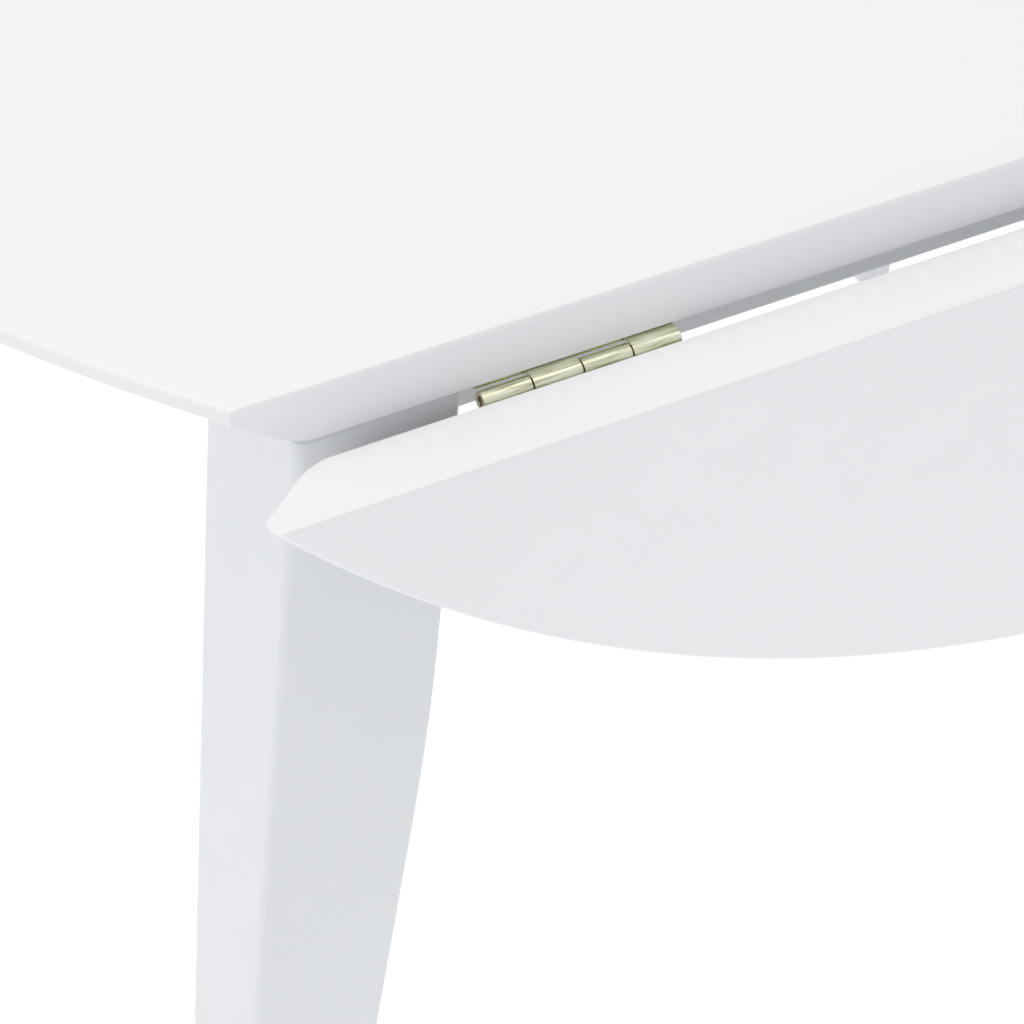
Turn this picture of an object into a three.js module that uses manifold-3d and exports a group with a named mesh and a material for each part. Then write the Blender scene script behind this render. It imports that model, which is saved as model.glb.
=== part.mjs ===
// Round drop-leaf table with folding leaf stays, in millimetres, +Z up.
// The origin is on the floor under the middle of the top. +Y runs along the joints between the fixed
// centre panel and the two leaves, +X points to the right leaf, and both leaves hang down at rest.
import * as THREE from "three";
import { mergeVertices } from "three/addons/utils/BufferGeometryUtils.js";
import Module from "manifold-3d";

const wasm = await Module();
wasm.setup();

// ---------- driving dimensions ----------

// Top: a round board cut into a centre panel and two leaves.
const TABLE_HEIGHT = 750;
const TOP_DIAMETER = 1000;
const TOP_THICKNESS = 19;
const PANEL_WIDTH = 660;
const RIM_LAND = 4.5; // upright nose of the round rim
const RIM_BLEND = 16; // radius between the 45 degree under-bevel and the underside
const ARRIS = 1; // eased upper edge of the rim
const BLEND_STEPS = 4;

// Clearances.
const SEAT_GAP = 0.3; // between pieces that rest on each other
const LEAF_GAP = 0.5; // between a raised leaf and the centre panel
const PIN_GAP = 0.3; // round a hinge pin or a bolt
const LEG_TO_LEAF = 5.8; // between a leg's outer face and a hanging leaf
const OVERCUT = 1; // how far a cutter runs past the faces it cuts, and a joined piece into its neighbour

// Facets round each kind of turned piece.
const RIM_SEGMENTS = 144;
const ROUND_SEGMENTS = 24;
const KNUCKLE_SEGMENTS = 20;
const PIN_SEGMENTS = 16;
const HOLE_SEGMENTS = 12;
const OUTLINE_SEGMENTS = 12;
const HEXAGON = 6;

// Butt hinges with four knuckles: the first and third belong to the leaf.
const KNUCKLE_RADIUS = 2.6;
const KNUCKLE_COUNT = 4;
const KNUCKLE_GAP = 0.3;
const HINGE_LENGTH = 58;
const PLATE_REACH = 22;
const PLATE_THICKNESS = 1.3;
const PIN_RADIUS = 1.3;
const HINGE_OUTSET = 2.1; // from the panel's joint edge out to the hinge axis
const HINGE_TO_LEG = 3;
const SCREW_HOLE_RADIUS = 1.9;
const SCREW_HOLES = 3;
const SCREW_HOLE_SETBACK = 6; // from the plate's free edge

// Legs: square, tapered on their inner faces, a little splayed towards the table's ends.
const LEG_DEPTH = 51; // across the table, at the top
const LEG_WIDTH = 47; // along the table, at the top
const FOOT_DEPTH = 24;
const FOOT_WIDTH = 21;
const LEG_SPLAY = 0.024; // outward run of the end face for each unit down
const LEG_END_SETBACK = 18.7; // from the panel's corner in to the end face's top
const LEG_EDGE = 3; // rounded arrises
const UPRIGHT_DEPTH = 86; // the inner edge is upright down to here
const CURVE_DEPTH = 80; // and curves over this stretch before it runs straight to the foot
const CURVE_STEPS = 8;
const GLIDE_RADIUS = 8.5;
const GLIDE_THICKNESS = 3;

// Frame under the centre panel.
const APRON_HEIGHT = 41.5;
const APRON_THICKNESS = 19;
const END_APRON_INSET = 4; // from the leg's inner corner out to the end apron's inner face
const RAIL_THICKNESS = 22;

// Corner plates and the bolts that hold the legs.
const CORNER_PLATE_THICKNESS = 2.5;
const CORNER_PLATE_HEIGHT = 34;
const CORNER_PLATE_SPAN = 46; // from the corner of the aprons to each bend
const CORNER_PLATE_FLANGE = 22;
const BOLT_RADIUS = 3;
const BOLT_IN_LEG = 24;
const BOLT_PAST_PLATE = 12;
const NUT_ACROSS_FLATS = 10;
const NUT_HEIGHT = 5;

// Folding stays under the leaves: flat steel bars, each riveted to an angle bracket under the apron.
const STAY_LENGTH = 130; // from the rivet to the middle of the round tip
const STAY_WIDTH = 12;
const STAY_THICKNESS = 4;
const STAY_SPREAD = 62; // from the middle of the table to each bar
const STAY_PIVOT_OUTSET = 12.5; // from the side apron's outer face out to the rivet
const STAY_PIVOT_DROP = 8.4; // from the bracket's upper face down to the rivet
const BRACKET_THICKNESS = 2.5;
const BRACKET_LENGTH = 24;
const BRACKET_NOSE_RADIUS = 8;
const BRACKET_SETBACK = 1; // from the side apron's faces in to the bracket's edges
const RIVET_RADIUS = 3;
const RIVET_HEAD_RADIUS = 5.5;
const RIVET_HEAD_HEIGHT = 2;
const RIVET_HEAD_CHAMFER = 1;

// ---------- sizes that follow ----------

const TOP_RADIUS = TOP_DIAMETER / 2;
const PANEL_HALF = PANEL_WIDTH / 2;
const UNDERSIDE = TABLE_HEIGHT - TOP_THICKNESS;
const HINGE_DROP = SEAT_GAP + KNUCKLE_RADIUS;
const AXIS_X = PANEL_HALF + HINGE_OUTSET;
const AXIS_Z = UNDERSIDE - HINGE_DROP;
const HANGING_INNER_X = AXIS_X + HINGE_DROP;
const LEG_OUTER_X = HANGING_INNER_X - LEG_TO_LEAF;
const LEG_INNER_X = LEG_OUTER_X - LEG_DEPTH;
const LEG_TOP_Z = UNDERSIDE - SEAT_GAP;
const LEG_HEIGHT = LEG_TOP_Z - GLIDE_THICKNESS - SEAT_GAP;
const PANEL_CORNER_Y = Math.sqrt(TOP_RADIUS ** 2 - PANEL_HALF ** 2);
const LEG_TOP_END = PANEL_CORNER_Y - LEG_END_SETBACK;
const LEG_INNER_Y = LEG_TOP_END - LEG_WIDTH;
const APRON_TOP_Z = UNDERSIDE - SEAT_GAP;
const SIDE_APRON_INNER_X = LEG_INNER_X + SEAT_GAP;
const SIDE_APRON_OUTER_X = SIDE_APRON_INNER_X + APRON_THICKNESS;
const END_APRON_INNER_Y = LEG_INNER_Y + END_APRON_INSET;
const END_APRON_OUTER_Y = END_APRON_INNER_Y + APRON_THICKNESS;
const BOLT_Z = APRON_TOP_Z - APRON_HEIGHT / 2;
const BRACKET_TOP_Z = APRON_TOP_Z - APRON_HEIGHT - SEAT_GAP;
const STAY_PIVOT_X = SIDE_APRON_OUTER_X + STAY_PIVOT_OUTSET;
const STAY_PIVOT_Z = BRACKET_TOP_Z - STAY_PIVOT_DROP;
const SIDES = [
  { name: "right", turn: 0, sign: 1 },
  { name: "left", turn: Math.PI, sign: -1 },
];
const ENDS = [
  { name: "front", sign: -1 },
  { name: "rear", sign: 1 },
];

// ---------- materials ----------

function material(color, roughness, metalness) {
  return new THREE.MeshStandardMaterial({ color, roughness, metalness });
}

const paint = () => material(0xf2f3f3, 0.45, 0);
const frameWood = () => material(0xe6e8e8, 0.5, 0);
const zincYellow = () => material(0xcfcf9a, 0.32, 1);
const pinSteel = () => material(0x8c7264, 0.35, 1);
const zincSteel = () => material(0xb9bcbd, 0.35, 1);
const nylon = () => material(0xd9d9d6, 0.6, 0);

// ---------- geometry helpers ----------

// A closed three.js geometry as a solid that can be joined and cut.
function solid(geometry) {
  const bare = geometry.clone();
  bare.deleteAttribute("normal");
  bare.deleteAttribute("uv");
  const merged = mergeVertices(bare, 1e-4);
  const index = merged.index.array;
  const faces = [];
  for (let i = 0; i < index.length; i += 3) {
    const [a, b, c] = [index[i], index[i + 1], index[i + 2]];
    if (a !== b && b !== c && c !== a) faces.push(a, b, c);
  }
  const vertProperties = merged.attributes.position.array;
  return new wasm.Manifold(
    new wasm.Mesh({ numProp: 3, vertProperties, triVerts: new Uint32Array(faces) }),
  );
}

// A joined or cut solid as a three.js geometry again.
function geometryOf(made) {
  const mesh = made.getMesh();
  const geometry = new THREE.BufferGeometry();
  geometry.setAttribute("position", new THREE.BufferAttribute(mesh.vertProperties, 3));
  geometry.setIndex(new THREE.BufferAttribute(mesh.triVerts, 1));
  geometry.computeVertexNormals();
  return geometry;
}

// A box between two corners.
function box(low, high) {
  const size = high.map((v, i) => v - low[i]);
  const middle = high.map((v, i) => (v + low[i]) / 2);
  return new THREE.BoxGeometry(...size).translate(...middle);
}

// A cylinder along Z with its lower end at the given point.
function rod(radius, length, x, y, z, segments = ROUND_SEGMENTS) {
  const geometry = new THREE.CylinderGeometry(radius, radius, length, segments);
  return geometry.rotateX(Math.PI / 2).translate(x, y, z + length / 2);
}

// A body turned about Z from [radius, height] points that start and end on the axis.
function turned(points, segments = ROUND_SEGMENTS) {
  const profile = points.map(([r, z]) => new THREE.Vector2(r, z));
  return new THREE.LatheGeometry(profile, segments).rotateX(Math.PI / 2);
}

function shapeOf(points) {
  return new THREE.Shape(points.map(([x, y]) => new THREE.Vector2(x, y)));
}

// A plate of constant thickness that stands on z = 0 with the given outline.
function plate(shape, thickness) {
  return new THREE.ExtrudeGeometry(shape, {
    depth: thickness,
    bevelEnabled: false,
    curveSegments: OUTLINE_SEGMENTS,
  });
}

function add(group, name, geometry, look) {
  const mesh = new THREE.Mesh(geometry, look);
  mesh.name = name;
  group.add(mesh);
  return mesh;
}

// ---------- top ----------

// The whole round top with its upper face at z = 0.
function roundTop() {
  const bevelTop = -RIM_LAND;
  const bevelRun = TOP_THICKNESS - RIM_LAND;
  const turn = Math.PI / 4;
  const tangent = RIM_BLEND * Math.tan(turn / 2);
  const footRadius = TOP_RADIUS - bevelRun;
  const blend = [];
  for (let i = 0; i <= BLEND_STEPS; i++) {
    const angle = (turn * i) / BLEND_STEPS;
    const r = footRadius - tangent + RIM_BLEND * Math.sin(angle);
    blend.push([r, -TOP_THICKNESS + RIM_BLEND * (1 - Math.cos(angle))]);
  }
  return turned(
    [
      [0, -TOP_THICKNESS],
      ...blend,
      [TOP_RADIUS, bevelTop],
      [TOP_RADIUS, -ARRIS],
      [TOP_RADIUS - ARRIS, 0],
      [0, 0],
    ],
    RIM_SEGMENTS,
  );
}

function topPanel() {
  const strip = box([-PANEL_HALF, -TOP_DIAMETER, -TOP_DIAMETER], [PANEL_HALF, TOP_DIAMETER, TOP_DIAMETER]);
  return geometryOf(solid(roundTop()).intersect(solid(strip)));
}

// One leaf in its raised place, measured from the hinge axis.
function leaf() {
  const start = PANEL_HALF + LEAF_GAP;
  const outside = box([start, -TOP_DIAMETER, -TOP_DIAMETER], [TOP_DIAMETER, TOP_DIAMETER, TOP_DIAMETER]);
  const made = solid(roundTop()).intersect(solid(outside));
  return geometryOf(made).translate(-AXIS_X, 0, TABLE_HEIGHT - AXIS_Z);
}

// ---------- hinges ----------

const PITCH = (HINGE_LENGTH + KNUCKLE_GAP) / KNUCKLE_COUNT;
const KNUCKLE_LENGTH = PITCH - KNUCKLE_GAP;

// A hinge half with its plate along +X, its axis on Y, and knuckles at the given places in the row.
function hingePlate(knuckles) {
  const top = KNUCKLE_RADIUS;
  const bottom = top - PLATE_THICKNESS;
  const clear = KNUCKLE_RADIUS + KNUCKLE_GAP;
  let made = solid(box([clear, 0, bottom], [PLATE_REACH, HINGE_LENGTH, top]));
  const along = (radius, from, length) =>
    rod(radius, length, 0, 0, 0, KNUCKLE_SEGMENTS).rotateX(-Math.PI / 2).translate(0, from, 0);
  for (const place of knuckles) {
    const from = place * PITCH;
    made = made.add(solid(box([0, from, bottom], [clear + OVERCUT, from + KNUCKLE_LENGTH, top])));
    made = made.add(solid(along(KNUCKLE_RADIUS, from, KNUCKLE_LENGTH)));
  }
  made = made.subtract(solid(along(PIN_RADIUS + PIN_GAP, -OVERCUT, HINGE_LENGTH + 2 * OVERCUT)));
  const depth = PLATE_THICKNESS + 2 * OVERCUT;
  for (let i = 0; i < SCREW_HOLES; i++) {
    const y = (HINGE_LENGTH * (i + 0.5)) / SCREW_HOLES;
    const x = PLATE_REACH - SCREW_HOLE_SETBACK;
    const hole = rod(SCREW_HOLE_RADIUS, depth, x, y, bottom - OVERCUT, HOLE_SEGMENTS);
    made = made.subtract(solid(hole));
  }
  return geometryOf(made);
}

function hingePin() {
  const dome = PIN_RADIUS / 3;
  const pin = turned([
    [0, 0],
    [PIN_RADIUS - dome, 0],
    [PIN_RADIUS, dome],
    [PIN_RADIUS, HINGE_LENGTH - dome],
    [PIN_RADIUS - dome, HINGE_LENGTH],
    [0, HINGE_LENGTH],
  ], PIN_SEGMENTS);
  return geometryOf(solid(pin.rotateX(-Math.PI / 2)));
}

// ---------- legs ----------

// The inner edge's distance from the middle of the table, at a depth below the leg's top: upright, then
// a gentle curve, then a straight run down to the foot's width.
function legInnerY(depth) {
  const footY = LEG_TOP_END + LEG_SPLAY * LEG_HEIGHT - FOOT_WIDTH;
  const straight = LEG_HEIGHT - UPRIGHT_DEPTH - CURVE_DEPTH;
  const endSlope = (footY - LEG_INNER_Y) / (straight + CURVE_DEPTH / 2);
  const along = depth - UPRIGHT_DEPTH;
  if (along < 0) return LEG_INNER_Y;
  if (along < CURVE_DEPTH) return LEG_INNER_Y + (endSlope * along * along) / (2 * CURVE_DEPTH);
  return footY - endSlope * (LEG_HEIGHT - depth);
}

// The leg under the right leaf's rear end, with its place in the table.
function legBlank() {
  const outer = [
    [LEG_TOP_END, 0],
    [LEG_TOP_END + LEG_SPLAY * LEG_HEIGHT, -LEG_HEIGHT],
  ];
  const inner = [[legInnerY(LEG_HEIGHT), -LEG_HEIGHT]];
  for (let i = CURVE_STEPS; i > 0; i--) {
    const depth = UPRIGHT_DEPTH + (CURVE_DEPTH * i) / CURVE_STEPS;
    inner.push([legInnerY(depth), -depth]);
  }
  inner.push([LEG_INNER_Y, 0]);
  const side = new THREE.ExtrudeGeometry(shapeOf([...outer, ...inner]), {
    depth: LEG_DEPTH - 2 * LEG_EDGE,
    bevelEnabled: true,
    bevelThickness: LEG_EDGE,
    bevelSize: LEG_EDGE,
    bevelOffset: -LEG_EDGE,
    bevelSegments: 2,
  });
  // The outline's plane becomes YZ and its thickness runs along X.
  side.rotateX(Math.PI / 2).rotateZ(Math.PI / 2);
  side.translate(LEG_INNER_X + LEG_EDGE, 0, LEG_TOP_Z);
  const taper = shapeOf([
    [LEG_OUTER_X, 0],
    [LEG_OUTER_X - LEG_DEPTH, 0],
    [LEG_OUTER_X - FOOT_DEPTH, -LEG_HEIGHT],
    [LEG_OUTER_X, -LEG_HEIGHT],
  ]);
  const front = plate(taper, TOP_DIAMETER).rotateX(Math.PI / 2);
  front.translate(0, TOP_DIAMETER, LEG_TOP_Z);
  return solid(side).intersect(solid(front));
}

// The bolt's line runs level at 45 degrees through the leg's inner corner.
function alongBolt(radius, from, to, segments = KNUCKLE_SEGMENTS) {
  const geometry = rod(radius, to - from, 0, 0, from, segments);
  geometry.rotateY(Math.PI / 2).rotateZ(Math.PI / 4);
  return geometry.translate(LEG_INNER_X, LEG_INNER_Y, BOLT_Z);
}

// ---------- frame ----------

// Distance along the bolt's line from the leg's inner corner back to the corner plate.
function plateDistance() {
  const x = SIDE_APRON_INNER_X - SEAT_GAP - LEG_INNER_X;
  const y = END_APRON_INNER_Y - SEAT_GAP - LEG_INNER_Y;
  return (CORNER_PLATE_SPAN - x - y) / Math.SQRT2;
}

// Distance along the same line back to the bolt's free end.
function boltReach() {
  return plateDistance() + CORNER_PLATE_THICKNESS + BOLT_PAST_PLATE;
}

function boltHole() {
  return solid(alongBolt(BOLT_RADIUS + PIN_GAP, -boltReach(), BOLT_IN_LEG + PIN_GAP));
}

// A piece made for the rear right corner, mirrored into another corner.
function mirrored(made, x, y) {
  const geometry = geometryOf(made).scale(x, y, 1);
  if (x * y < 0) geometry.index.array.reverse();
  geometry.computeVertexNormals();
  return geometry;
}

function sideApron() {
  const reach = legInnerY(0) - SEAT_GAP;
  const lowReach = legInnerY(APRON_HEIGHT) - SEAT_GAP;
  const outline = shapeOf([
    [-reach, 0],
    [-lowReach, -APRON_HEIGHT],
    [lowReach, -APRON_HEIGHT],
    [reach, 0],
  ]);
  const board = plate(outline, APRON_THICKNESS).rotateX(Math.PI / 2).rotateZ(Math.PI / 2);
  board.translate(SIDE_APRON_INNER_X, 0, APRON_TOP_Z);
  const rear = boltHole();
  const front = solid(mirrored(rear, 1, -1));
  return solid(board).subtract(rear).subtract(front);
}

function endApron() {
  const reach = LEG_INNER_X - SEAT_GAP;
  const board = box(
    [-reach, END_APRON_INNER_Y, APRON_TOP_Z - APRON_HEIGHT],
    [reach, END_APRON_OUTER_Y, APRON_TOP_Z],
  );
  const right = boltHole();
  const left = solid(mirrored(right, -1, 1));
  return solid(board).subtract(right).subtract(left);
}

function crossRail() {
  const reach = SIDE_APRON_INNER_X - SEAT_GAP;
  const half = RAIL_THICKNESS / 2;
  return box([-reach, -half, APRON_TOP_Z - APRON_HEIGHT], [reach, half, APRON_TOP_Z]);
}

// A bent steel strip across the rear right corner, seen from above.
function cornerPlate() {
  const x = SIDE_APRON_INNER_X - SEAT_GAP;
  const y = END_APRON_INNER_Y - SEAT_GAP;
  const t = CORNER_PLATE_THICKNESS;
  const bend = t * Math.tan(Math.PI / 8);
  const span = CORNER_PLATE_SPAN;
  const end = span + CORNER_PLATE_FLANGE;
  const outline = shapeOf([
    [x, y - end],
    [x, y - span],
    [x - span, y],
    [x - end, y],
    [x - end, y - t],
    [x - span - bend, y - t],
    [x - t, y - span - bend],
    [x - t, y - end],
  ]);
  const low = BOLT_Z - CORNER_PLATE_HEIGHT / 2;
  const strip = plate(outline, CORNER_PLATE_HEIGHT).translate(0, 0, low);
  return solid(strip).subtract(boltHole());
}

function hangerBolt() {
  return solid(alongBolt(BOLT_RADIUS, -boltReach(), BOLT_IN_LEG, PIN_SEGMENTS));
}

function hexNut() {
  const near = plateDistance() + CORNER_PLATE_THICKNESS + SEAT_GAP;
  const radius = NUT_ACROSS_FLATS / Math.sqrt(3);
  const body = solid(alongBolt(radius, -near - NUT_HEIGHT, -near, HEXAGON));
  const bore = alongBolt(BOLT_RADIUS + PIN_GAP, -near - NUT_HEIGHT - OVERCUT, -near + OVERCUT);
  return body.subtract(solid(bore));
}

// ---------- stays ----------

// A cylinder along Y with its nearer end at the given point.
function rodAlongY(radius, length, x, y, z) {
  return rod(radius, length, 0, 0, 0).rotateX(-Math.PI / 2).translate(x, y, z);
}

// A bar that hangs from its rivet at the origin, with its thickness centred on y = 0.
function stay() {
  const half = STAY_WIDTH / 2;
  const outline = new THREE.Shape();
  outline.absarc(0, -STAY_LENGTH, half, Math.PI, 2 * Math.PI, false);
  outline.absarc(0, 0, half, 0, Math.PI, false);
  const bar = plate(outline, STAY_THICKNESS).rotateX(Math.PI / 2).translate(0, STAY_THICKNESS / 2, 0);
  const start = -STAY_THICKNESS / 2 - OVERCUT;
  const hole = rodAlongY(RIVET_RADIUS + PIN_GAP, STAY_THICKNESS + 2 * OVERCUT, 0, start, 0);
  return solid(bar).subtract(solid(hole));
}

// An angle bracket for that bar: a foot under the apron, and a cheek that holds the rivet.
function stayBracket() {
  const near = -STAY_THICKNESS / 2 - SEAT_GAP;
  const far = near - BRACKET_THICKNESS;
  const top = STAY_PIVOT_DROP;
  const inside = SIDE_APRON_INNER_X - STAY_PIVOT_X + BRACKET_SETBACK;
  const outside = -STAY_PIVOT_OUTSET - BRACKET_SETBACK;
  const foot = box([inside, near - BRACKET_LENGTH, top - BRACKET_THICKNESS], [outside, near, top]);
  const cheek = box([inside, far, -BRACKET_NOSE_RADIUS], [0, near, top]);
  const nose = rodAlongY(BRACKET_NOSE_RADIUS, BRACKET_THICKNESS, 0, far, 0);
  const depth = BRACKET_THICKNESS + 2 * OVERCUT;
  const rivetHole = rodAlongY(RIVET_RADIUS + PIN_GAP, depth, 0, far - OVERCUT, 0);
  let made = solid(foot).add(solid(cheek)).add(solid(nose)).subtract(solid(rivetHole));
  const holeX = (inside + outside) / 2;
  const holeZ = top - BRACKET_THICKNESS - OVERCUT;
  for (const part of [1 / 3, 2 / 3]) {
    const y = far - (BRACKET_LENGTH - BRACKET_THICKNESS) * part;
    made = made.subtract(solid(rod(SCREW_HOLE_RADIUS, depth, holeX, y, holeZ, HOLE_SEGMENTS)));
  }
  return made;
}

// A rivet with a head on each side of the cheek and the bar.
function stayRivet() {
  const low = -STAY_THICKNESS / 2 - 2 * SEAT_GAP - BRACKET_THICKNESS;
  const high = STAY_THICKNESS / 2 + SEAT_GAP;
  const rivet = turned([
    [0, low - RIVET_HEAD_HEIGHT],
    [RIVET_HEAD_RADIUS - RIVET_HEAD_CHAMFER, low - RIVET_HEAD_HEIGHT],
    [RIVET_HEAD_RADIUS, low - RIVET_HEAD_HEIGHT + RIVET_HEAD_CHAMFER],
    [RIVET_HEAD_RADIUS, low],
    [RIVET_RADIUS, low],
    [RIVET_RADIUS, high],
    [RIVET_HEAD_RADIUS, high],
    [RIVET_HEAD_RADIUS, high + RIVET_HEAD_HEIGHT - RIVET_HEAD_CHAMFER],
    [RIVET_HEAD_RADIUS - RIVET_HEAD_CHAMFER, high + RIVET_HEAD_HEIGHT],
    [0, high + RIVET_HEAD_HEIGHT],
  ]);
  return solid(rivet.rotateX(-Math.PI / 2));
}

// ---------- assembly ----------

const table = new THREE.Group();

const panelMesh = add(table, "top_panel", topPanel(), paint());
panelMesh.position.z = TABLE_HEIGHT;

for (const side of SIDES) {
  const wing = new THREE.Group();
  wing.rotation.z = side.turn;
  table.add(wing);

  // The leaf's group turns on the hinge axis, and hangs a quarter turn below its raised place.
  const hanging = new THREE.Group();
  hanging.position.set(AXIS_X, 0, AXIS_Z);
  hanging.rotation.y = Math.PI / 2;
  wing.add(hanging);
  add(hanging, `leaf_${side.name}`, leaf(), paint());

  const endHinge = LEG_INNER_Y - HINGE_TO_LEG;
  const hingeStarts = [-endHinge, -HINGE_LENGTH / 2, endHinge - HINGE_LENGTH];
  const names = side.sign > 0 ? ["front", "middle", "rear"] : ["rear", "middle", "front"];
  hingeStarts.forEach((start, i) => {
    const name = `${side.name}_${names[i]}`;
    const leafHalf = add(hanging, `hinge_leaf_plate_${name}`, hingePlate([0, 2]), zincYellow());
    leafHalf.position.y = start;
    // Turned half round about Z, the plate points inwards and its row of knuckles runs the other way.
    const panelHalf = add(wing, `hinge_panel_plate_${name}`, hingePlate([0, 2]), zincYellow());
    panelHalf.rotation.z = Math.PI;
    panelHalf.position.set(AXIS_X, start + HINGE_LENGTH, AXIS_Z);
    const pin = add(wing, `hinge_pin_${name}`, hingePin(), pinSteel());
    pin.position.set(AXIS_X, start, AXIS_Z);
  });

  // Both bars hang with their cheeks on the side nearer the middle of the table.
  for (const end of ENDS) {
    const worldEnd = ENDS.find((e) => e.sign === end.sign * side.sign).name;
    const name = `${side.name}_${worldEnd}`;
    const pivot = new THREE.Group();
    pivot.position.set(STAY_PIVOT_X, end.sign * STAY_SPREAD, STAY_PIVOT_Z);
    wing.add(pivot);
    add(pivot, `stay_${name}`, mirrored(stay(), 1, end.sign), zincSteel());
    add(pivot, `stay_bracket_${name}`, mirrored(stayBracket(), 1, end.sign), zincSteel());
    add(pivot, `stay_rivet_${name}`, mirrored(stayRivet(), 1, end.sign), zincSteel());
  }
}

const leg = legBlank().subtract(boltHole());
for (const side of SIDES) {
  add(table, `side_apron_${side.name}`, mirrored(sideApron(), side.sign, 1), frameWood());
  for (const end of ENDS) {
    const name = `${end.name}_${side.name}`;
    add(table, `leg_${name}`, mirrored(leg, side.sign, end.sign), paint());
    add(table, `corner_plate_${name}`, mirrored(cornerPlate(), side.sign, end.sign), zincSteel());
    add(table, `hanger_bolt_${name}`, mirrored(hangerBolt(), side.sign, end.sign), zincSteel());
    add(table, `hex_nut_${name}`, mirrored(hexNut(), side.sign, end.sign), zincSteel());
    const footX = LEG_OUTER_X - FOOT_DEPTH / 2;
    const footY = LEG_TOP_END + LEG_SPLAY * LEG_HEIGHT - FOOT_WIDTH / 2;
    const disc = rod(GLIDE_RADIUS, GLIDE_THICKNESS, 0, 0, 0);
    const glide = add(table, `foot_glide_${name}`, geometryOf(solid(disc)), nylon());
    glide.position.set(side.sign * footX, end.sign * footY, 0);
  }
}
for (const end of ENDS) {
  add(table, `end_apron_${end.name}`, mirrored(endApron(), 1, end.sign), frameWood());
}
add(table, "cross_rail", crossRail(), frameWood());

export default table;
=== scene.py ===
"""Round drop-leaf table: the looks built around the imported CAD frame. Lengths are in metres."""

import math

import bmesh
import bpy
from mathutils import Matrix, Vector


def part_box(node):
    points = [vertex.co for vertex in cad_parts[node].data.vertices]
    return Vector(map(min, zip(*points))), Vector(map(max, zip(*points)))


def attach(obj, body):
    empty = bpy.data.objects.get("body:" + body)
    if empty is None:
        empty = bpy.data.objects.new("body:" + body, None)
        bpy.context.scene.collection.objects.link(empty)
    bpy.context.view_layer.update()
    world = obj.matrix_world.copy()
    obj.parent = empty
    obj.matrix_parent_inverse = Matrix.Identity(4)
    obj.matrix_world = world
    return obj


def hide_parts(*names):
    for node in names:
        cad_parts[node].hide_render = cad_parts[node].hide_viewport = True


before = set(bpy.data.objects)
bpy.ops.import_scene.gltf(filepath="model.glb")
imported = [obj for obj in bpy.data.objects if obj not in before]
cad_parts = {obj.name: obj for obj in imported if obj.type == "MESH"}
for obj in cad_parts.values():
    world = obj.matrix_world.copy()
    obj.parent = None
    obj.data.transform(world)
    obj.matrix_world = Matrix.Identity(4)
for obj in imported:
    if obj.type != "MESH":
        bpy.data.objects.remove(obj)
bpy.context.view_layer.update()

MM = 0.001
SIDES = (("right", 1), ("left", -1))
ENDS = (("front", -1), ("rear", 1))

# ---------- sizes read from the frame ----------

panel_low, panel_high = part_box("top_panel")
leg_low, leg_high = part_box("leg_rear_right")
pin_low, pin_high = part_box("hinge_pin_right_middle")

THICKNESS = panel_high.z - panel_low.z
TOP_RADIUS = panel_high.y
PANEL_HALF = panel_high.x
AXIS_X = (pin_low.x + pin_high.x) / 2
AXIS_Z = (pin_low.z + pin_high.z) / 2
UNDERSIDE = panel_low.z
HINGE_LENGTH = pin_high.y - pin_low.y
LEG_HEIGHT = leg_high.z - leg_low.z

# ---------- sizes of the details ----------

LEAF_GAP = 0.5 * MM
RIM_LAND = 4.5 * MM
RIM_BLEND = 16 * MM
RIM_ARRIS = 1.7 * MM
JOINT_ARRIS = 0.7 * MM
UNDERSIDE_INSET = 2 * MM
BLEND_STEPS = 6
ARRIS_STEPS = 4
ARC_STEPS = 160
LEG_ARRIS = 3 * MM
LEG_ARRIS_STEPS = 8
LEG_END_EASE = 0.8 * MM
LEG_END_LENGTH = 1 * MM
LEG_CURVE_STEPS = 12
LEG_WIDTH = 47 * MM
LEG_DEPTH = 51 * MM
FOOT_WIDTH = 21 * MM
FOOT_DEPTH = 24 * MM
LEG_UPRIGHT = 86 * MM
LEG_CURVE = 80 * MM
KNUCKLE_RADIUS = 2.6 * MM
SHEET = 1.3 * MM
KNUCKLES = 4
KNUCKLE_GAP = 0.45 * MM
PLATE_REACH = 22 * MM
PIN_EASE = 0.05 * MM
PIN_DOME = 0.35 * MM
PIN_FACETS = 24
KNUCKLE_PLACES = (0, 2)
ROLL_START = 90
ROLL_END = 384
ROLL_STEPS = 42
HINGE_SCREWS = 3
SCREW_TURN = 0.6
SCREW_FACETS = 16
SCREW_SHANK = 1.2 * MM
SCREW_DEPTH = 1.1 * MM
SCREW_RIM_DEPTH = 0.25 * MM
SCREW_FLAT_SHARE = 0.93
RECESS_ARM = 1.9 * MM
RECESS_FLANK = 0.95 * MM
RECESS_CORNER = 0.55 * MM
RECESS_RISE = 0.05 * MM
RECESS_DEPTH = 0.7 * MM
RECESS_FLOOR_SHARE = 0.8
SCREW_SETBACK = 6 * MM
SCREW_RADIUS = 3.3 * MM
SCREW_SINK = 0.2 * MM
STAY_EYE = 3.3 * MM
RIVET_SHANK = 3 * MM
RIVET_CAP = 2 * MM
RIVET_DOME = ((0.45, 0), (0.8, 0.25), (1, 0.7), (1, 1))
BRACKET_SHEET = 2.5 * MM
BRACKET_NOSE = 8 * MM
BRACKET_FOOT = 17 * MM
CHEEK_OUTSET = 0.3 * MM
NOSE_STEPS = 20
TIP_STEPS = 24
CORNER_SHEET = 2.5 * MM
CORNER_SPAN = 46 * MM
CORNER_SCREW_RISE = 9 * MM
BOLT_SHANK = 3 * MM
BOLT_FACETS = 24
THREADED_SHARE = 0.55
THREAD_PITCH = 1 * MM
THREAD_DEPTH = 0.45 * MM
NUT_THICKNESS = 5 * MM
NUT_CLEARANCE = 0.15 * MM
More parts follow.
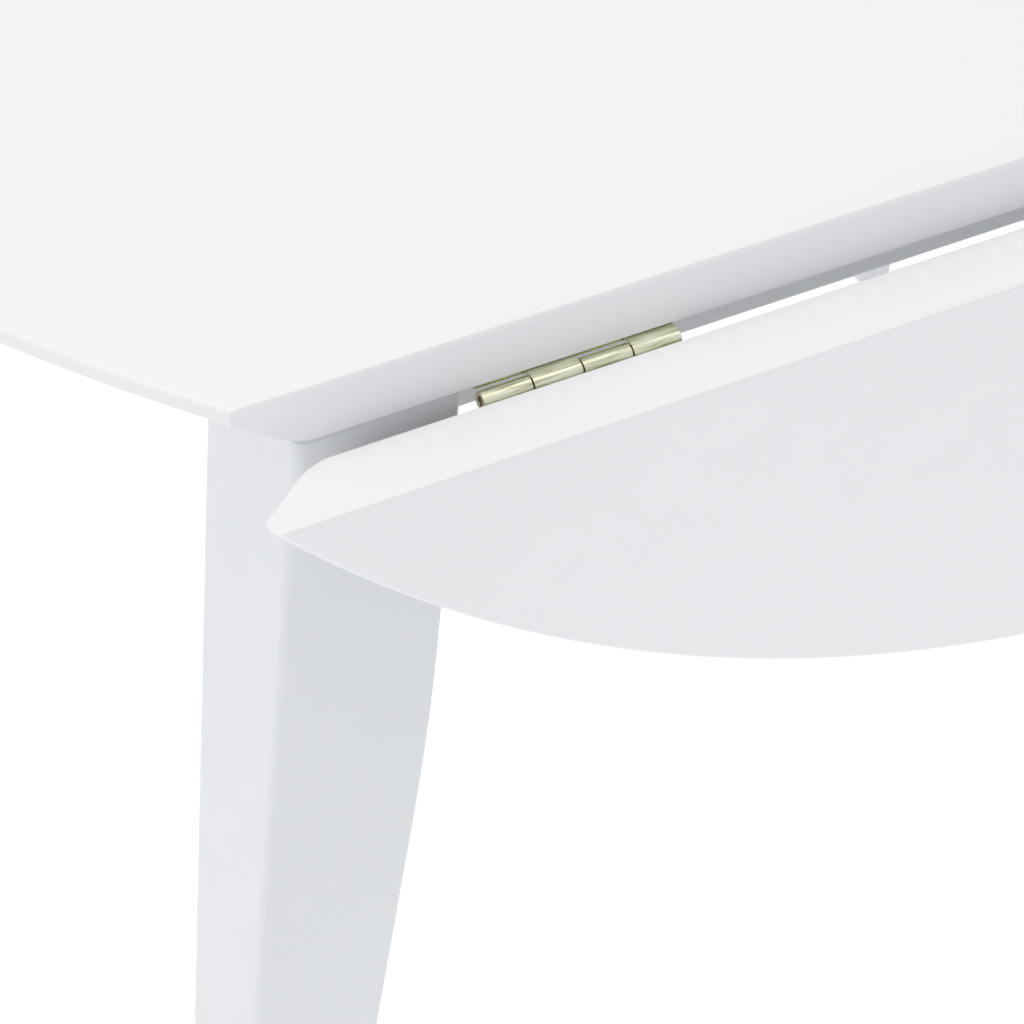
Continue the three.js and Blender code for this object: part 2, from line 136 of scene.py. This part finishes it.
GLIDE_EDGE = ((1.2 * MM, 0), (0.4 * MM, 0.3 * MM), (0, 1.1 * MM))
BOARD_EDGE = 1 * MM
BAR_EDGE = 0.5 * MM
STEEL_EDGE = 0.4 * MM
NUT_EDGE = 0.3 * MM
SHEET_EDGE = 0.22 * MM
QUARTER = math.pi / 2
EIGHTH = math.pi / 4
UPRIGHT_XZ = Matrix.Rotation(QUARTER, 4, "X")


# ---------- materials ----------

NOISE_LOW = 0.3
NOISE_HIGH = 0.7
SPRAY_DEPTH = 0.00003
DRAWN_DEPTH = 0.00002


def new_material(name):
    """A node material with nothing but a principled shader, with its tree and that shader."""
    made = bpy.data.materials.new(name)
    made.use_nodes = True
    tree = made.node_tree
    tree.nodes.clear()
    shader = tree.nodes.new("ShaderNodeBsdfPrincipled")
    output = tree.nodes.new("ShaderNodeOutputMaterial")
    tree.links.new(shader.outputs["BSDF"], output.inputs["Surface"])
    return made, tree, shader


def grain(tree, scale, stretch=(1, 1, 1), detail=4):
    """A noise value over the object's own coordinates, in cycles for each metre."""
    place = tree.nodes.new("ShaderNodeTexCoord")
    mapping = tree.nodes.new("ShaderNodeMapping")
    mapping.inputs["Scale"].default_value = stretch
    noise = tree.nodes.new("ShaderNodeTexNoise")
    noise.inputs["Scale"].default_value = scale
    noise.inputs["Detail"].default_value = detail
    tree.links.new(place.outputs["Object"], mapping.inputs["Vector"])
    tree.links.new(mapping.outputs["Vector"], noise.inputs["Vector"])
    return noise.outputs["Fac"]


def ramp(tree, value, stops):
    """Colours over a value between 0 and 1."""
    node = tree.nodes.new("ShaderNodeValToRGB")
    for element, (place, color) in zip(node.color_ramp.elements, (stops[0], stops[-1])):
        element.position = place
        element.color = (*color, 1)
    for place, color in stops[1:-1]:
        node.color_ramp.elements.new(place).color = (*color, 1)
    tree.links.new(value, node.inputs["Fac"])
    return node.outputs["Color"]


def spread(tree, value, low, high):
    """A noise value, brought into the given range."""
    node = tree.nodes.new("ShaderNodeMapRange")
    node.inputs["From Min"].default_value = NOISE_LOW
    node.inputs["From Max"].default_value = NOISE_HIGH
    node.inputs["To Min"].default_value = low
    node.inputs["To Max"].default_value = high
    tree.links.new(value, node.inputs["Value"])
    return node.outputs["Result"]


def clouded(tree, value, dark, light):
    return ramp(tree, value, [(NOISE_LOW, dark), (NOISE_HIGH, light)])


def relief(tree, shader, value, depth):
    node = tree.nodes.new("ShaderNodeBump")
    node.inputs["Strength"].default_value = 1
    node.inputs["Distance"].default_value = depth
    tree.links.new(value, node.inputs["Height"])
    tree.links.new(node.outputs["Normal"], shader.inputs["Normal"])


def lacquer(name, dark, light):
    """Sprayed satin lacquer: an even colour, and the faint orange peel of the spray."""
    made, tree, shader = new_material(name)
    cloud = grain(tree, 9)
    tree.links.new(clouded(tree, cloud, dark, light), shader.inputs["Base Color"])
    tree.links.new(spread(tree, grain(tree, 60), 0.36, 0.46), shader.inputs["Roughness"])
    shader.inputs["Specular IOR Level"].default_value = 0.4
    relief(tree, shader, grain(tree, 420, detail=2), SPRAY_DEPTH)
    return made


def plated(name, colors, roughness, scale, stretch):
    """Plated steel: colour in patches or streaks, and fine drawn lines the same way."""
    made, tree, shader = new_material(name)
    shader.inputs["Metallic"].default_value = 1
    patches = grain(tree, scale, stretch, 6)
    step = (NOISE_HIGH - NOISE_LOW) / (len(colors) - 1)
    stops = [(NOISE_LOW + step * i, c) for i, c in enumerate(colors)]
    tree.links.new(ramp(tree, patches, stops), shader.inputs["Base Color"])
    tree.links.new(spread(tree, patches, *roughness), shader.inputs["Roughness"])
    lines = grain(tree, scale * 4, stretch, 3)
    relief(tree, shader, lines, DRAWN_DEPTH)
    return made


def moulded(name, dark, light):
    made, tree, shader = new_material(name)
    cloud = grain(tree, 300)
    tree.links.new(clouded(tree, cloud, dark, light), shader.inputs["Base Color"])
    tree.links.new(spread(tree, cloud, 0.5, 0.65), shader.inputs["Roughness"])
    relief(tree, shader, grain(tree, 1500), SPRAY_DEPTH)
    return made


LOOKS = {
    "white_lacquer": lacquer("white_lacquer", (0.785, 0.79, 0.8), (0.8, 0.805, 0.815)),
    # the frame's lacquer is the same white paint made darker: painted shade on the legs, aprons and
    # cross rail
    "frame_lacquer": lacquer("frame_lacquer", (0.705, 0.715, 0.73), (0.72, 0.73, 0.745)),
    "zinc_yellow": plated(
        "zinc_yellow",
        [(0.52, 0.49, 0.32), (0.84, 0.84, 0.62), (0.95, 0.96, 0.83)],
        (0.22, 0.38),
        260,
        (6, 0.35, 6),
    ),
    "hinge_pin_steel": plated(
        "hinge_pin_steel", [(0.2, 0.1, 0.07), (0.42, 0.24, 0.17)], (0.3, 0.5), 500, (1, 1, 1)
    ),
    "zinc_steel": plated(
        "zinc_steel",
        [(0.64, 0.65, 0.67), (0.7, 0.71, 0.72), (0.76, 0.77, 0.78)],
        (0.25, 0.42),
        900,
        (1, 1, 1),
    ),
    "nylon": moulded("nylon", (0.72, 0.72, 0.7), (0.8, 0.8, 0.78)),
}

# ---------- mesh helpers ----------


def loft(rings):
    """A closed body through rings of equally many points, the first at the bottom."""
    body = bmesh.new()
    rows = [[body.verts.new(p) for p in ring] for ring in rings]
    count = len(rows[0])
    for low, high in zip(rows, rows[1:]):
        for i in range(count):
            j = (i + 1) % count
            body.faces.new((low[i], low[j], high[j], high[i]))
    body.faces.new(rows[0][::-1])
    body.faces.new(rows[-1])
    bmesh.ops.recalc_face_normals(body, faces=body.faces)
    return body


def prism(outline, depth, place=Matrix()):
    """An outline in XY, made deep along +Z and then put in place."""
    body = loft([[(x, y, z) for x, y in outline] for z in (0, depth)])
    body.transform(place)
    return body


def joined(bodies):
    whole = bmesh.new()
    for body in bodies:
        mesh = bpy.data.meshes.new("part")
        body.to_mesh(mesh)
        body.free()
        whole.from_mesh(mesh)
        bpy.data.meshes.remove(mesh)
    return whole


def flipped(body, x, y):
    """The body mirrored across the table's middle planes where x or y is -1."""
    body.transform(Matrix.Diagonal((x, y, 1, 1)))
    if x * y < 0:
        bmesh.ops.reverse_faces(body, faces=body.faces)
    return body


def piece(name, body, rides_on, slot, nodes=(), edge=0.0, sharp=35):
    """A finished mesh object in its place: eased edges, smooth shading and its material."""
    mesh = bpy.data.meshes.new(name)
    body.to_mesh(mesh)
    body.free()
    for face in mesh.polygons:
        face.use_smooth = True
    mesh.set_sharp_from_angle(angle=math.radians(sharp))
    made = bpy.data.objects.new(name, mesh)
    bpy.context.scene.collection.objects.link(made)
    if edge:
        bevel = made.modifiers.new("eased_edges", "BEVEL")
        bevel.width = edge
        bevel.segments = 2
        bevel.limit_method = "ANGLE"
        bevel.angle_limit = math.radians(40)
        bevel.harden_normals = True
    mesh.materials.append(LOOKS[slot])
    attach(made, rides_on)
    if nodes:
        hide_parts(*nodes)
    return made


def arc(radius, first, last, steps, middle=(0, 0)):
    """Points on a circle, angles in degrees."""
    points = []
    for i in range(steps + 1):
        angle = math.radians(first + (last - first) * i / steps)
        x = middle[0] + radius * math.cos(angle)
        y = middle[1] + radius * math.sin(angle)
        points.append((x, y))
    return points


def circle(radius, facets):
    return arc(radius, 0, 360 * (1 - 1 / facets), facets - 1)


# ---------- top ----------


def rim_levels():
    """From the underside up: height over the underside, inset of the rim, inset of a joint edge."""
    foot = THICKNESS - RIM_LAND
    tangent = RIM_BLEND * math.tan(EIGHTH / 2)
    levels = [(0, foot + tangent + UNDERSIDE_INSET, JOINT_ARRIS)]
    for i in range(BLEND_STEPS + 1):
        angle = EIGHTH * i / BLEND_STEPS
        inset = foot + tangent - RIM_BLEND * math.sin(angle)
        height = RIM_BLEND * (1 - math.cos(angle))
        levels.append((height, inset, max(0, JOINT_ARRIS - height * 2) if i else JOINT_ARRIS))
    turn = RIM_ARRIS * math.tan(EIGHTH / 2)
    for i in range(ARRIS_STEPS + 1):
        angle = EIGHTH * (1 - i / ARRIS_STEPS)
        height = foot + turn - RIM_ARRIS * math.sin(angle)
        levels.append((height, RIM_ARRIS * (1 - math.cos(angle)), 0))
    for i in range(ARRIS_STEPS + 1):
        angle = QUARTER * i / ARRIS_STEPS
        rim = RIM_ARRIS * (1 - math.cos(angle))
        joint = JOINT_ARRIS * (1 - math.cos(angle))
        height = THICKNESS - RIM_ARRIS * (1 - math.sin(angle))
        levels.append((height, rim, joint))
    return levels


def panel_body():
    rings = []
    for height, inset, joint in rim_levels():
        radius = TOP_RADIUS - inset
        half = PANEL_HALF - joint
        first = math.degrees(math.acos(half / radius))
        ends = arc(radius, first, 180 - first, ARC_STEPS)
        ends += arc(radius, 180 + first, 360 - first, ARC_STEPS)
        rings.append([(x, y, UNDERSIDE + height) for x, y in ends])
    return loft(rings)


def leaf_body():
    """The right leaf, raised, and then turned down a quarter turn about its hinge axis."""
    rings = []
    for height, inset, joint in rim_levels():
        radius = TOP_RADIUS - inset
        half = PANEL_HALF + LEAF_GAP + joint
        last = math.degrees(math.acos(half / radius))
        rings.append([(x, y, UNDERSIDE + height) for x, y in arc(radius, -last, last, ARC_STEPS)])
    body = loft(rings)
    axis = Vector((AXIS_X, 0, AXIS_Z))
    turn = Matrix.Rotation(QUARTER, 4, "Y")
    body.transform(Matrix.Translation(axis) @ turn @ Matrix.Translation(-axis))
    return body


piece("top_panel_board", panel_body(), "frame", "white_lacquer", ["top_panel"], sharp=30)
for side, x in SIDES:
    board = leaf_body()
    board.transform(Matrix.Rotation(0 if x > 0 else math.pi, 4, "Z"))
    piece(f"leaf_{side}_board", board, f"leaf_{side}", "white_lacquer", [f"leaf_{side}"], sharp=30)

# ---------- legs ----------


def leg_section(depth):
    """The right rear leg's four sides at a depth below its top."""
    splay = (leg_high.y - leg_low.y - LEG_WIDTH) / LEG_HEIGHT
    foot_y = leg_high.y - FOOT_WIDTH
    end_slope = (foot_y - leg_low.y) / (LEG_HEIGHT - LEG_UPRIGHT - LEG_CURVE / 2)
    along = depth - LEG_UPRIGHT
    if along < 0:
        inner_y = leg_low.y
    elif along < LEG_CURVE:
        inner_y = leg_low.y + end_slope * along * along / (2 * LEG_CURVE)
    else:
        inner_y = foot_y - end_slope * (LEG_HEIGHT - depth)
    outer_y = leg_low.y + LEG_WIDTH + splay * depth
    inner_x = leg_high.x - LEG_DEPTH + (LEG_DEPTH - FOOT_DEPTH) * depth / LEG_HEIGHT
    return inner_x, leg_high.x, inner_y, outer_y


def leg_body():
    """The right rear leg, from the foot up."""
    steps = [LEG_HEIGHT, LEG_HEIGHT - LEG_END_LENGTH, LEG_HEIGHT * 0.75, LEG_HEIGHT * 0.5]
    for i in range(LEG_CURVE_STEPS, -1, -1):
        steps.append(LEG_UPRIGHT + LEG_CURVE * i / LEG_CURVE_STEPS)
    steps += [LEG_END_LENGTH, 0]
    rings = []
    for depth in steps:
        inner_x, outer_x, inner_y, outer_y = leg_section(depth)
        ease = LEG_END_EASE if depth in (0, LEG_HEIGHT) else 0
        inner_x, inner_y = inner_x + ease, inner_y + ease
        outer_x, outer_y = outer_x - ease, outer_y - ease
        r = LEG_ARRIS
        near_x, far_x = inner_x + r, outer_x - r
        near_y, far_y = inner_y + r, outer_y - r
        ring = []
        corners = ((far_x, far_y), (near_x, far_y), (near_x, near_y), (far_x, near_y))
        for i, corner in enumerate(corners):
            ring += arc(r, 90 * i, 90 * (i + 1), LEG_ARRIS_STEPS, corner)
        rings.append([(x, y, leg_high.z - depth) for x, y in ring])
    return loft(rings)


for side, x in SIDES:
    for end, y in ENDS:
        name = f"{end}_{side}"
        body = flipped(leg_body(), x, y)
        piece(f"leg_{name}_post", body, "frame", "frame_lacquer", [f"leg_{name}"], sharp=30)

# ---------- hinges ----------


def screw_body():
    """A countersunk head that faces +Z, with a cross recess."""
    cross = [RECESS_ARM, RECESS_FLANK, RECESS_CORNER, RECESS_FLANK] * (SCREW_FACETS // 4)
    levels = (
        ([SCREW_SHANK] * SCREW_FACETS, -SCREW_DEPTH),
        ([SCREW_RADIUS] * SCREW_FACETS, -SCREW_RIM_DEPTH),
        ([SCREW_RADIUS * SCREW_FLAT_SHARE] * SCREW_FACETS, 0),
        (cross, RECESS_RISE),
        ([radius * RECESS_FLOOR_SHARE for radius in cross], -RECESS_DEPTH),
    )
    rings = []
    for radii, height in levels:
        ring = []
        for i, radius in enumerate(radii):
            angle = 2 * math.pi * i / SCREW_FACETS
            ring.append((radius * math.cos(angle), radius * math.sin(angle), height))
        rings.append(ring)
    return loft(rings)


def hinge_half():
    """A half with its plate along +X and its axis on Y: a comb-shaped sheet rolled into knuckles."""
    pitch = (HINGE_LENGTH + KNUCKLE_GAP) / KNUCKLES
    top = KNUCKLE_RADIUS
    clear = KNUCKLE_RADIUS + KNUCKLE_GAP
    comb = [(PLATE_REACH, 0), (PLATE_REACH, HINGE_LENGTH), (clear, HINGE_LENGTH)]
    for place in reversed(KNUCKLE_PLACES):
        far = place * pitch + pitch - KNUCKLE_GAP
        near = place * pitch
        comb += [(clear, far), (0, far), (0, near)] + ([(clear, near)] if place else [])
    bodies = [prism(comb, SHEET, Matrix.Translation((0, 0, top - SHEET)))]
    roll = arc(KNUCKLE_RADIUS, ROLL_START, ROLL_END, ROLL_STEPS)
    roll += arc(KNUCKLE_RADIUS - SHEET, ROLL_END, ROLL_START, ROLL_STEPS)
    for place in KNUCKLE_PLACES:
        far = place * pitch + pitch - KNUCKLE_GAP
        bodies.append(prism(roll, far - place * pitch, Matrix.Translation((0, far, 0)) @ UPRIGHT_XZ))
    for body in bodies:
        bmesh.ops.recalc_face_normals(body, faces=body.faces)
    return joined(bodies)


def hinge_screws():
    """The screws of one hinge half, in a row near the plate's free edge, with their heads down."""
    bodies = []
    for i in range(HINGE_SCREWS):
        body = screw_body()
        turn = Matrix.Rotation(math.pi, 4, "X") @ Matrix.Rotation(SCREW_TURN + i, 4, "Z")
        y = HINGE_LENGTH * (i + 0.5) / HINGE_SCREWS
        place = (PLATE_REACH - SCREW_SETBACK, y, KNUCKLE_RADIUS - SHEET)
        body.transform(Matrix.Translation(place) @ turn)
        bodies.append(body)
    return joined(bodies)


def pin_body():
    """A rod along +Y from the origin, with a small dome on each end."""
    r = (pin_high.x - pin_low.x) / 2 - PIN_EASE
    tip = r - PIN_DOME
    levels = ((0, tip), (PIN_DOME, r), (HINGE_LENGTH - PIN_DOME, r), (HINGE_LENGTH, tip))
    rings = [[(x, depth, z) for x, z in circle(radius, PIN_FACETS)] for depth, radius in levels]
    body = loft(rings)
    bmesh.ops.recalc_face_normals(body, faces=body.faces)
    return body


for side, x in SIDES:
    for row in ("front", "middle", "rear"):
        name = f"{side}_{row}"
        low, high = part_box(f"hinge_pin_{name}")
        start = low.y if x > 0 else -high.y
        wing = Matrix.Rotation(0 if x > 0 else math.pi, 4, "Z")
        near_end = wing @ Matrix.Translation((AXIS_X, start, AXIS_Z))
        far_end = near_end @ Matrix.Translation((0, HINGE_LENGTH, 0))
        hanging = near_end @ Matrix.Rotation(QUARTER, 4, "Y")
        inward = far_end @ Matrix.Rotation(math.pi, 4, "Z")
        halves = (("leaf", hanging, f"leaf_{side}"), ("panel", inward, "frame"))
        for part, place, rides_on in halves:
            half = hinge_half()
            half.transform(place)
            node = f"hinge_{part}_plate_{name}"
            piece(f"{node}_sheet", half, rides_on, "zinc_yellow", [node], SHEET_EDGE, 50)
            screws = hinge_screws()
            screws.transform(place)
            piece(f"{node}_screws", screws, rides_on, "zinc_yellow", sharp=25)
        pin = pin_body()
        pin.transform(near_end)
        node = f"hinge_pin_{name}"
        piece(f"{node}_rod", pin, "frame", "hinge_pin_steel", [node], sharp=60)

# ---------- frame under the top ----------


def board_body(node):
    """A straight board in the place of a CAD node."""
    low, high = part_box(node)
    outline = [(low.x, low.y), (high.x, low.y), (high.x, high.y), (low.x, high.y)]
    return prism(outline, high.z - low.z, Matrix.Translation((0, 0, low.z)))


BOARDS = ("side_apron_right", "side_apron_left", "end_apron_front", "end_apron_rear", "cross_rail")
for node in BOARDS:
    piece(f"{node}_board", board_body(node), "frame", "frame_lacquer", [node], BOARD_EDGE)

# ---------- steel and nylon fittings ----------


def washer(outline, hole, depth, place=Matrix()):
    """A convex outline round the origin, with a round hole there, made deep along +Z."""
    outer = [Vector(p) for p in outline]
    inner = [p.normalized() * hole for p in outer]
    body = bmesh.new()
    loops = []
    for flat, z in ((outer, 0), (outer, depth), (inner, depth), (inner, 0)):
        loops.append([body.verts.new((p.x, p.y, z)) for p in flat])
    count = len(outer)
    for a, b in zip(loops, loops[1:] + loops[:1]):
        for i in range(count):
            j = (i + 1) % count
            body.faces.new((a[i], a[j], b[j], b[i]))
    body.transform(place)
    bmesh.ops.recalc_face_normals(body, faces=body.faces)
    return body


def turned(profile, place=Matrix(), facets=32):
    """A body turned about Z from (radius, height) points, the lowest first."""
    body = loft([[(x, y, z) for x, y in circle(r, facets)] for r, z in profile])
    body.transform(place)
    return body


def middle(node):
    low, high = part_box(node)
    return (low + high) / 2


def stay_body(node):
    low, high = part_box(node)
    half = (high.x - low.x) / 2
    eye = Vector(((low.x + high.x) / 2, high.y, high.z - half))
    reach = high.z - low.z - 2 * half
    outline = arc(half, 0, 180, TIP_STEPS) + arc(half, 180, 360, TIP_STEPS, (0, -reach))
    return washer(outline, STAY_EYE, high.y - low.y, Matrix.Translation(eye) @ UPRIGHT_XZ)


def bracket_body(name):
    """The foot lies under the apron, and the cheek hangs on the side nearer the table's middle."""
    node = f"stay_bracket_{name}"
    low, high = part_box(node)
    stay_side = middle(f"stay_{name}").y
    outward = 1 if stay_side > middle(node).y else -1
    sign = 1 if high.x > 0 else -1
    eye_x = middle(f"stay_{name}").x
    eye_z = low.z + BRACKET_NOSE
    inner_x = abs(eye_x - (low.x if sign > 0 else high.x))
    top = high.z - eye_z
    foot_x = inner_x - BRACKET_FOOT
    cheek = [(CHEEK_OUTSET, top), (-inner_x, top), (-inner_x, -BRACKET_NOSE)]
    cheek += arc(BRACKET_NOSE, -90, 60, NOSE_STEPS)
    face = high.y if outward > 0 else low.y + BRACKET_SHEET
    place = Matrix.Translation((eye_x, face, eye_z)) @ UPRIGHT_XZ
    mirror = Matrix.Diagonal((sign, 1, 1, 1))
    made = washer(cheek, STAY_EYE, BRACKET_SHEET, place @ mirror)
    bmesh.ops.recalc_face_normals(made, faces=made.faces)
    x0, x1 = sorted((eye_x - sign * inner_x, eye_x - sign * foot_x))
    near, far = (low.y, high.y - BRACKET_SHEET) if outward > 0 else (low.y + BRACKET_SHEET, high.y)
    plate = [(x0, near), (x1, near), (x1, far), (x0, far)]
    foot = prism(plate, BRACKET_SHEET, Matrix.Translation((0, 0, high.z - BRACKET_SHEET)))
    screws = []
    for part in (1 / 3, 2 / 3):
        spot = ((x0 + x1) / 2, near + (far - near) * part, high.z - BRACKET_SHEET - SCREW_SINK)
        screw = screw_body()
        screw.transform(Matrix.Translation(spot) @ Matrix.Rotation(math.pi, 4, "X"))
        screws.append(screw)
    return joined([made, foot]), joined(screws)


def rivet_body(node):
    low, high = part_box(node)
    head = (high.x - low.x) / 2
    length = high.y - low.y
    dome = [(head * across, RIVET_CAP * rise) for across, rise in RIVET_DOME]
    profile = dome + [(RIVET_SHANK, RIVET_CAP), (RIVET_SHANK, length - RIVET_CAP)]
    profile += [(r, length - z) for r, z in reversed(dome)]
    place = Matrix.Translation((middle(node).x, high.y, middle(node).z)) @ UPRIGHT_XZ
    return turned(profile, place)


for side, x in SIDES:
    for end, y in ENDS:
        name = f"{side}_{end}"
        rides_on = f"stay_{name}_body"
        stay = f"stay_{name}"
        piece(f"{stay}_bar", stay_body(stay), rides_on, "zinc_steel", [stay], BAR_EDGE)
        bracket, screws = bracket_body(name)
        node = f"stay_bracket_{name}"
        piece(f"{node}_sheet", bracket, "frame", "zinc_steel", [node], STEEL_EDGE)
        piece(f"{node}_screws", screws, "frame", "zinc_steel", sharp=25)
        node = f"stay_rivet_{name}"
        piece(f"{node}_turned", rivet_body(node), "frame", "zinc_steel", [node])


def corner_plate_body():
    """The rear right corner's bent strip."""
    low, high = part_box("corner_plate_rear_right")
    x, y, t = high.x, high.y, CORNER_SHEET
    bend = t * math.tan(EIGHTH / 2)
    outline = [
        (x, low.y),
        (x, y - CORNER_SPAN),
        (x - CORNER_SPAN, y),
        (low.x, y),
        (low.x, y - t),
        (x - CORNER_SPAN - bend, y - t),
        (x - t, y - CORNER_SPAN - bend),
        (x - t, low.y),
    ]
    return prism(outline, high.z - low.z, Matrix.Translation((0, 0, low.z)))


def corner_screws():
    """Two screws through each flange of the rear right corner plate."""
    low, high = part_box("corner_plate_rear_right")
    flange = (high.x - low.x - CORNER_SPAN) / 2
    centre = (low.z + high.z) / 2
    bodies = []
    for rise in (-CORNER_SCREW_RISE, CORNER_SCREW_RISE):
        face = CORNER_SHEET + SCREW_SINK
        along_x = Matrix.Translation((high.x - face, low.y + flange, centre + rise))
        along_y = Matrix.Translation((low.x + flange, high.y - face, centre + rise))
        for place, axis, angle in ((along_x, "Y", -QUARTER), (along_y, "X", QUARTER)):
            screw = screw_body()
            screw.transform(place @ Matrix.Rotation(angle, 4, axis))
            bodies.append(screw)
    return joined(bodies)


def on_diagonal(node, length):
    """The place of a body that stands on z = 0, laid level at 45 degrees in a node's middle."""
    turn = Matrix.Rotation(EIGHTH, 4, "Z") @ Matrix.Rotation(QUARTER, 4, "Y")
    return Matrix.Translation(middle(node)) @ turn @ Matrix.Translation((0, 0, -length / 2))


def bolt_body():
    """The rear right hanger bolt: machine threads up to the corner plate, and plain from there on."""
    node = "hanger_bolt_rear_right"
    low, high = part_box(node)
    length = (high.x - low.x - 2 * BOLT_SHANK * math.sin(EIGHTH)) / math.cos(EIGHTH)
    profile = [(BOLT_SHANK - 2 * THREAD_DEPTH, 0)]
    z = THREAD_DEPTH
    while z < length * THREADED_SHARE:
        profile += [(BOLT_SHANK, z), (BOLT_SHANK - THREAD_DEPTH, z + THREAD_PITCH / 2)]
        z += THREAD_PITCH
    profile += [(BOLT_SHANK, z), (BOLT_SHANK, length)]
    return turned(profile, on_diagonal(node, length), BOLT_FACETS)


def nut_body():
    """The rear right hex nut, with each flat in four steps to follow the round bore."""
    node = "hex_nut_rear_right"
    low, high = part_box(node)
    corners = arc((high.z - low.z) / 2, 0, 300, 5)
    outline = []
    for a, b in zip(corners, corners[1:] + corners[:1]):
        outline += [tuple(Vector(a).lerp(Vector(b), i / 4)) for i in range(4)]
    place = on_diagonal(node, NUT_THICKNESS)
    return washer(outline, BOLT_SHANK + NUT_CLEARANCE, NUT_THICKNESS, place)


def glide_body():
    node = "foot_glide_rear_right"
    low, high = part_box(node)
    r = (high.x - low.x) / 2
    profile = [(r - inset, rise) for inset, rise in GLIDE_EDGE] + [(r, high.z - low.z)]
    centre = middle(node)
    return turned(profile, Matrix.Translation((centre.x, centre.y, low.z)))


for side, x in SIDES:
    for end, y in ENDS:
        name = f"{end}_{side}"
        plate = f"corner_plate_{name}"
        bolt = f"hanger_bolt_{name}"
        nut = f"hex_nut_{name}"
        glide = f"foot_glide_{name}"
        body = flipped(corner_plate_body(), x, y)
        piece(f"{plate}_sheet", body, "frame", "zinc_steel", [plate], STEEL_EDGE)
        piece(f"{plate}_screws", flipped(corner_screws(), x, y), "frame", "zinc_steel", sharp=25)
        piece(f"{bolt}_turned", flipped(bolt_body(), x, y), "frame", "zinc_steel", [bolt], sharp=50)
        piece(f"{nut}_body", flipped(nut_body(), x, y), "frame", "zinc_steel", [nut], NUT_EDGE)
        piece(f"{glide}_disc", flipped(glide_body(), x, y), "frame", "nylon", [glide])

# ---------- stage ----------

FLOOR_REACH = 12
FLOOR_ROUGHNESS = 0.9
FLOOR_GLOW = 0.34
FLOOR_GLOW_COLOR = (1, 0.995, 0.985, 1)
SKY_COLOR = (0.942, 0.968, 1, 1)
SKY_STRENGTH = 0.735
CAMERA_LENS = 119.5
CAMERA_SENSOR = 36
CAMERA_PLACE = (0.8538, -0.6378, 1.3155)
CAMERA_LOOK = (-0.58662, 0.38679, -0.71153)
CAMERA_ROLL = 6.07


def floor():
    body = bmesh.new()
    corners = [(-1, -1), (1, -1), (1, 1), (-1, 1)]
    body.faces.new([body.verts.new((x * FLOOR_REACH, y * FLOOR_REACH, 0)) for x, y in corners])
    mesh = bpy.data.meshes.new("floor")
    body.to_mesh(mesh)
    body.free()
    made = bpy.data.objects.new("floor", mesh)
    bpy.context.scene.collection.objects.link(made)
    look, tree, shader = new_material("floor")
    pale = clouded(tree, grain(tree, 2), (0.93, 0.93, 0.93), (0.95, 0.95, 0.95))
    tree.links.new(pale, shader.inputs["Base Color"])
    shader.inputs["Roughness"].default_value = FLOOR_ROUGHNESS
    shader.inputs["Emission Color"].default_value = FLOOR_GLOW_COLOR
    shader.inputs["Emission Strength"].default_value = FLOOR_GLOW
    mesh.materials.append(look)


def area_light(name, place, aim, size, watts, color):
    data = bpy.data.lights.new(name, "AREA")
    data.shape = "DISK"
    data.size = size
    data.energy = watts
    data.color = color
    made = bpy.data.objects.new(name, data)
    bpy.context.scene.collection.objects.link(made)
    made.location = place
    made.rotation_euler = (Vector(aim) - Vector(place)).to_track_quat("-Z", "Y").to_euler()


def camera():
    """A long lens over the right front corner, rolled a little."""
    data = bpy.data.cameras.new("camera")
    data.lens = CAMERA_LENS
    data.sensor_width = CAMERA_SENSOR
    made = bpy.data.objects.new("camera", data)
    bpy.context.scene.collection.objects.link(made)
    level = Vector(CAMERA_LOOK).to_track_quat("-Z", "Y")
    roll = Matrix.Rotation(math.radians(CAMERA_ROLL), 3, "Z")
    made.location = CAMERA_PLACE
    made.rotation_mode = "QUATERNION"
    made.rotation_quaternion = level @ roll.to_quaternion()
    bpy.context.scene.camera = made


floor()
area_light("overhead", (0.3, -0.5, 3.2), (0.2, -0.1, 0.7), 2.6, 32, (1, 0.965, 0.915))
area_light("front", (-0.6, -3.2, 1.4), (0.2, -0.2, 0.6), 2.4, 8, (1, 0.99, 0.98))
camera()

world = bpy.data.worlds.new("studio")
world.use_nodes = True
background = world.node_tree.nodes["Background"]
background.inputs["Color"].default_value = SKY_COLOR
background.inputs["Strength"].default_value = SKY_STRENGTH
bpy.context.scene.world = world
bpy.context.scene.view_settings.view_transform = "Standard"
